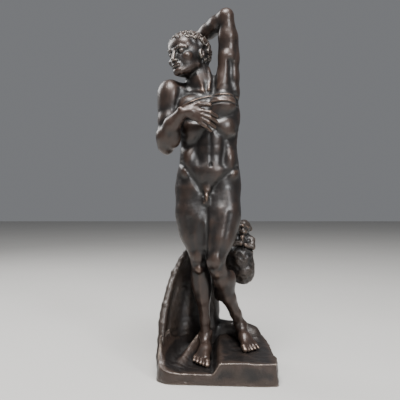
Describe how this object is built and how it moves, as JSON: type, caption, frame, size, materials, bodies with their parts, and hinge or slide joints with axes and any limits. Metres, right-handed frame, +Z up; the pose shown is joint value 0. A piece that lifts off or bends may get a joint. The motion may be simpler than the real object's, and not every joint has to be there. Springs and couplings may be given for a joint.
{
  "type": "bronze statuette",
  "caption": "Dark patinated bronze statuette of a standing nude figure with one arm raised behind the head, on a stepped plinth with a rock and a small ape.",
  "frame": {"origin": "on the surface the statuette stands on, under the middle of its overall box", "axes": "+Z up, -Y towards the viewer of the statuette's front, +X to that viewer's right (the figure's own left)"},
  "size_m": [0.0881, 0.0836, 0.2795],
  "materials": {
    "body_bronze": "dark brown-black patina over cast bronze, semi-gloss wax, brown rub-through on high points",
    "head_bronze": "dark brown-black patina, a little greenish grey left in the hair",
    "rock_bronze": "rough-modelled cast bronze, dark patina, brighter worn edges",
    "ape_bronze": "rough-modelled cast bronze, dark patina",
    "plinth_bronze": "cast bronze, dark patina, edges rubbed bright",
    "joint_brass": "filed rivet wire",
    "nut_brass": "dull machined",
    "fastener_steel": "plain turned steel"
  },
  "bodies": {
    "root": {"plinth": "plinth_bronze", "rock_support": "rock_bronze", "ape_block": "ape_bronze", "torso_and_legs": "body_bronze", "head": "head_bronze", "raised_arm": "body_bronze", "folded_arm": "body_bronze", "neck_rivet": "joint_brass", "raised_arm_rivet": "joint_brass", "folded_arm_rivet": "joint_brass", "ape_rivets": "joint_brass", "core_plugs": "body_bronze", "right_foot_stud": "fastener_steel", "left_foot_stud": "fastener_steel", "rock_studs": "fastener_steel", "stud_washers": "fastener_steel", "stud_nuts": "nut_brass"}
  },
  "joints": []
}
